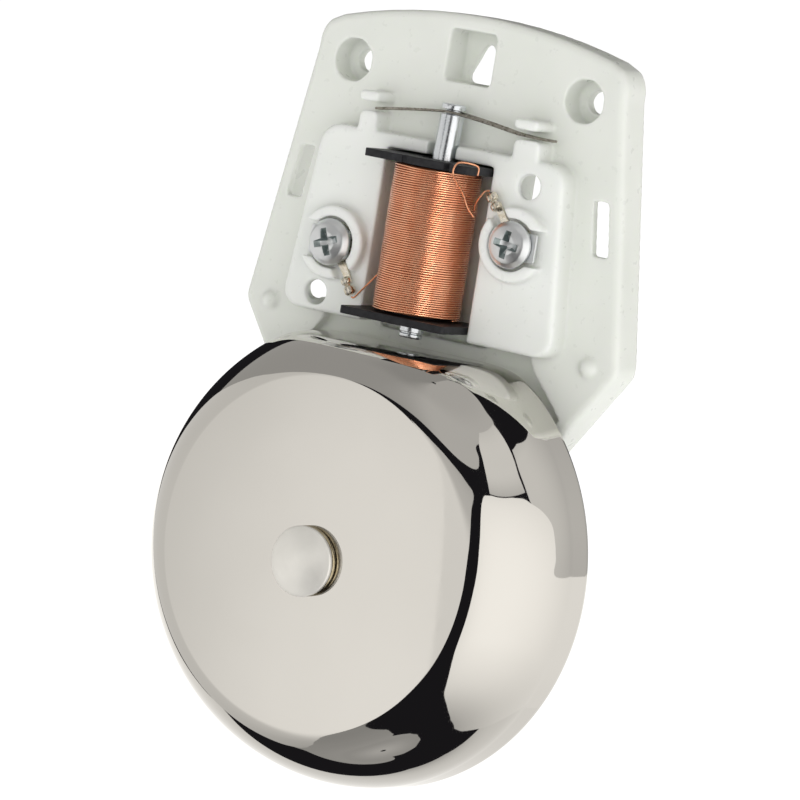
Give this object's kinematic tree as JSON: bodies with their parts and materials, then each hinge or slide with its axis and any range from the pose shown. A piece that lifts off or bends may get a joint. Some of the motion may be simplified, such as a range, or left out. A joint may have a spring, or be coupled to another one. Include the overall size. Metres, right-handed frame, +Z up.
{
  "type": "electromechanical door bell",
  "caption": "Open single-stroke bell: a wall plate with a coil, a plunger hung on a wire spring, screw terminals and a polished gong with a flat that the plunger strikes.",
  "frame": {"origin": "on the wall plane and the centre line, 34 mm below the line of the fixing holes, in the middle of the coil's back pad", "axes": "+X to the right as the bell is seen from the front, +Z up from the gong to the fixing holes, -Y out of the wall towards the viewer"},
  "size_m": [0.0764, 0.0343, 0.1252],
  "materials": {
    "plate_plastic": "satin off-white, slightly translucent",
    "bobbin_plastic": "charcoal, fine grain",
    "copper": "enamelled copper wire",
    "zinc": "bright zinc plate",
    "spring_steel": "drawn wire",
    "tinned": "tinned brass",
    "brass": "turned",
    "nickel": "polished nickel plate"
  },
  "bodies": {
    "base": {"base_plate": "plate_plastic", "coil_bobbin": "bobbin_plastic", "coil_winding": "copper", "winding_tail": "copper", "lead_wire_left": "copper", "lead_wire_right": "copper", "suspension_spring": "spring_steel", "terminal_nut_left": "zinc", "terminal_nut_right": "zinc", "terminal_tag_left": "tinned", "terminal_tag_right": "tinned", "gong": "nickel", "gong_washer": "bobbin_plastic", "gong_insert": "brass"},
    "plunger": {"striker": "zinc"},
    "clamp_left": {"clamp_plate_left": "zinc"},
    "screw_left": {"terminal_screw_left": "zinc"},
    "clamp_right": {"clamp_plate_right": "zinc"},
    "screw_right": {"terminal_screw_right": "zinc"},
    "cap_seat": {"cap_washer": "nickel"},
    "gong_cap": {"gong_cap_screw": "nickel"}
  },
  "joints": [
    {"name": "striker_slide", "type": "slide", "parent": "base", "child": "plunger", "axis": [-0.0174, -0.0279, -0.9995], "range_m": [0, 0.00125], "stiffness_N_per_m": 120, "springref_m": -0.0008, "deforming": ["suspension_spring"]},
    {"name": "clamp_left_lift", "type": "slide", "parent": "base", "child": "clamp_left", "axis": [0, -1, 0], "range_m": [0, 0.0014]},
    {"name": "screw_left_turn", "type": "hinge", "parent": "clamp_left", "child": "screw_left", "pos_m": [-0.0167, -0.0127, 0.0047], "axis": [0, -1, 0], "range_deg": [0, 720]},
    {"name": "clamp_right_lift", "type": "slide", "parent": "base", "child": "clamp_right", "axis": [0, -1, 0], "range_m": [0, 0.0014]},
    {"name": "screw_right_turn", "type": "hinge", "parent": "clamp_right", "child": "screw_right", "pos_m": [0.0167, -0.0127, 0.01], "axis": [0, -1, 0], "range_deg": [0, 720]},
    {"name": "cap_seat_lift", "type": "slide", "parent": "base", "child": "cap_seat", "axis": [0, -1, 0], "range_m": [0, 0.0024]},
    {"name": "gong_cap_turn", "type": "hinge", "parent": "cap_seat", "child": "gong_cap", "pos_m": [0, -0.032, -0.0437], "axis": [0, -1, 0], "range_deg": [0, 1080]}
  ],
  "couplings": [
    {"joint": "screw_left_turn", "follows": "clamp_left_lift", "rad_per_m": 8976},
    {"joint": "screw_right_turn", "follows": "clamp_right_lift", "rad_per_m": 8976},
    {"joint": "gong_cap_turn", "follows": "cap_seat_lift", "rad_per_m": 7854}
  ]
}
